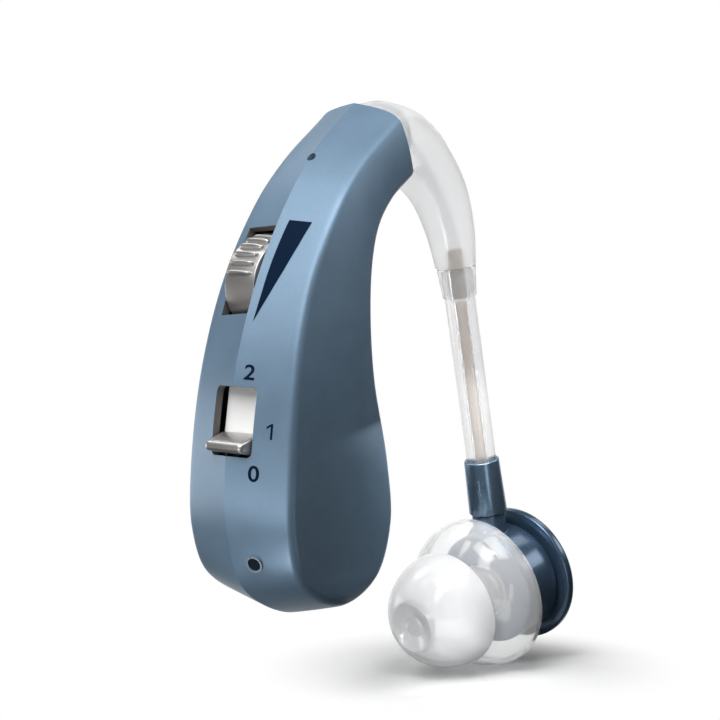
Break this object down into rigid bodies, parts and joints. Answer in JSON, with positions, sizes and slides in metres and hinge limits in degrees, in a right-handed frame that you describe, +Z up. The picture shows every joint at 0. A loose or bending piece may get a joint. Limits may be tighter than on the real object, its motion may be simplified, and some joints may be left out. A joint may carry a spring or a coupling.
{
  "type": "hearing aid",
  "caption": "Behind-the-ear hearing aid: curved two-shell housing with volume wheel and mode switch, clear ear hook and sound tube, swivelling ear piece with a soft domed tip.",
  "frame": {"origin": "centre of the bounding box's bottom face, under the large dome of the ear tip", "axes": "+Z up along the housing as it is worn, +X forwards from the housing to the ear piece, +Y to the wearer's side on which the volume wheel stands"},
  "size_m": [0.0423, 0.0144, 0.0537],
  "materials": {
    "housing": "satin metallic blue-grey lacquer",
    "wheel_silver": "silver paint",
    "tab_silver": "silver paint",
    "steel": "bright",
    "rubber": "matte",
    "switch_nylon": "matte white",
    "lens": "dark smoked lens",
    "bezel": "polished",
    "led": "clear",
    "board": "green solder mask",
    "chip": "black",
    "cell": "polished nickel",
    "tube": "clear soft tube",
    "hook": "milky translucent",
    "earpiece": "dark blue gloss",
    "tip": "clear silicone",
    "nipple": "grey-beige",
    "guard": "white"
  },
  "bodies": {
    "housing": {"shell_right": "housing", "shell_left": "housing", "wheel_screw": "steel", "volume_control": "rubber", "switch_body": "switch_nylon", "switch_pins": "steel", "microphone": "steel", "mic_gasket": "rubber", "indicator_lens": "lens", "indicator_bezel": "bezel", "indicator_led": "led", "circuit_board": "board", "board_chips": "chip", "battery": "cell", "battery_leads": "steel", "charging_socket": "rubber", "receiver": "steel", "receiver_cushion": "rubber", "receiver_tube": "tube", "hook_adapter": "hook", "ear_hook": "hook", "tube_nipple": "nipple", "acoustic_tube": "tube", "tube_collar": "tube", "tube_sleeve": "housing"},
    "wheel": {"volume_wheel": "wheel_silver"},
    "switch": {"mode_switch": "tab_silver"},
    "earpiece": {"earpiece_body": "earpiece", "earpiece_cap": "earpiece", "nozzle": "hook", "wax_guard": "guard"},
    "tip": {"ear_tip": "tip"}
  },
  "joints": [
    {"name": "volume_turn", "type": "hinge", "parent": "housing", "child": "wheel", "pos_m": [-0.01318, 0.0019, 0.03737], "axis": [0, 1, 0], "range_deg": [-135, 135]},
    {"name": "mode_slide", "type": "slide", "parent": "housing", "child": "switch", "axis": [0.1474, 0, 0.9891], "range_m": [0, 0.0036]},
    {"name": "earpiece_swivel", "type": "hinge", "parent": "housing", "child": "earpiece", "pos_m": [0.01481, 0, 0.01393], "axis": [0.2045, 0, -0.9789], "range_deg": [-90, 90]},
    {"name": "tip_pull", "type": "slide", "parent": "earpiece", "child": "tip", "axis": [-0.9781, 0, -0.2079], "range_m": [0, 0.007]}
  ]
}
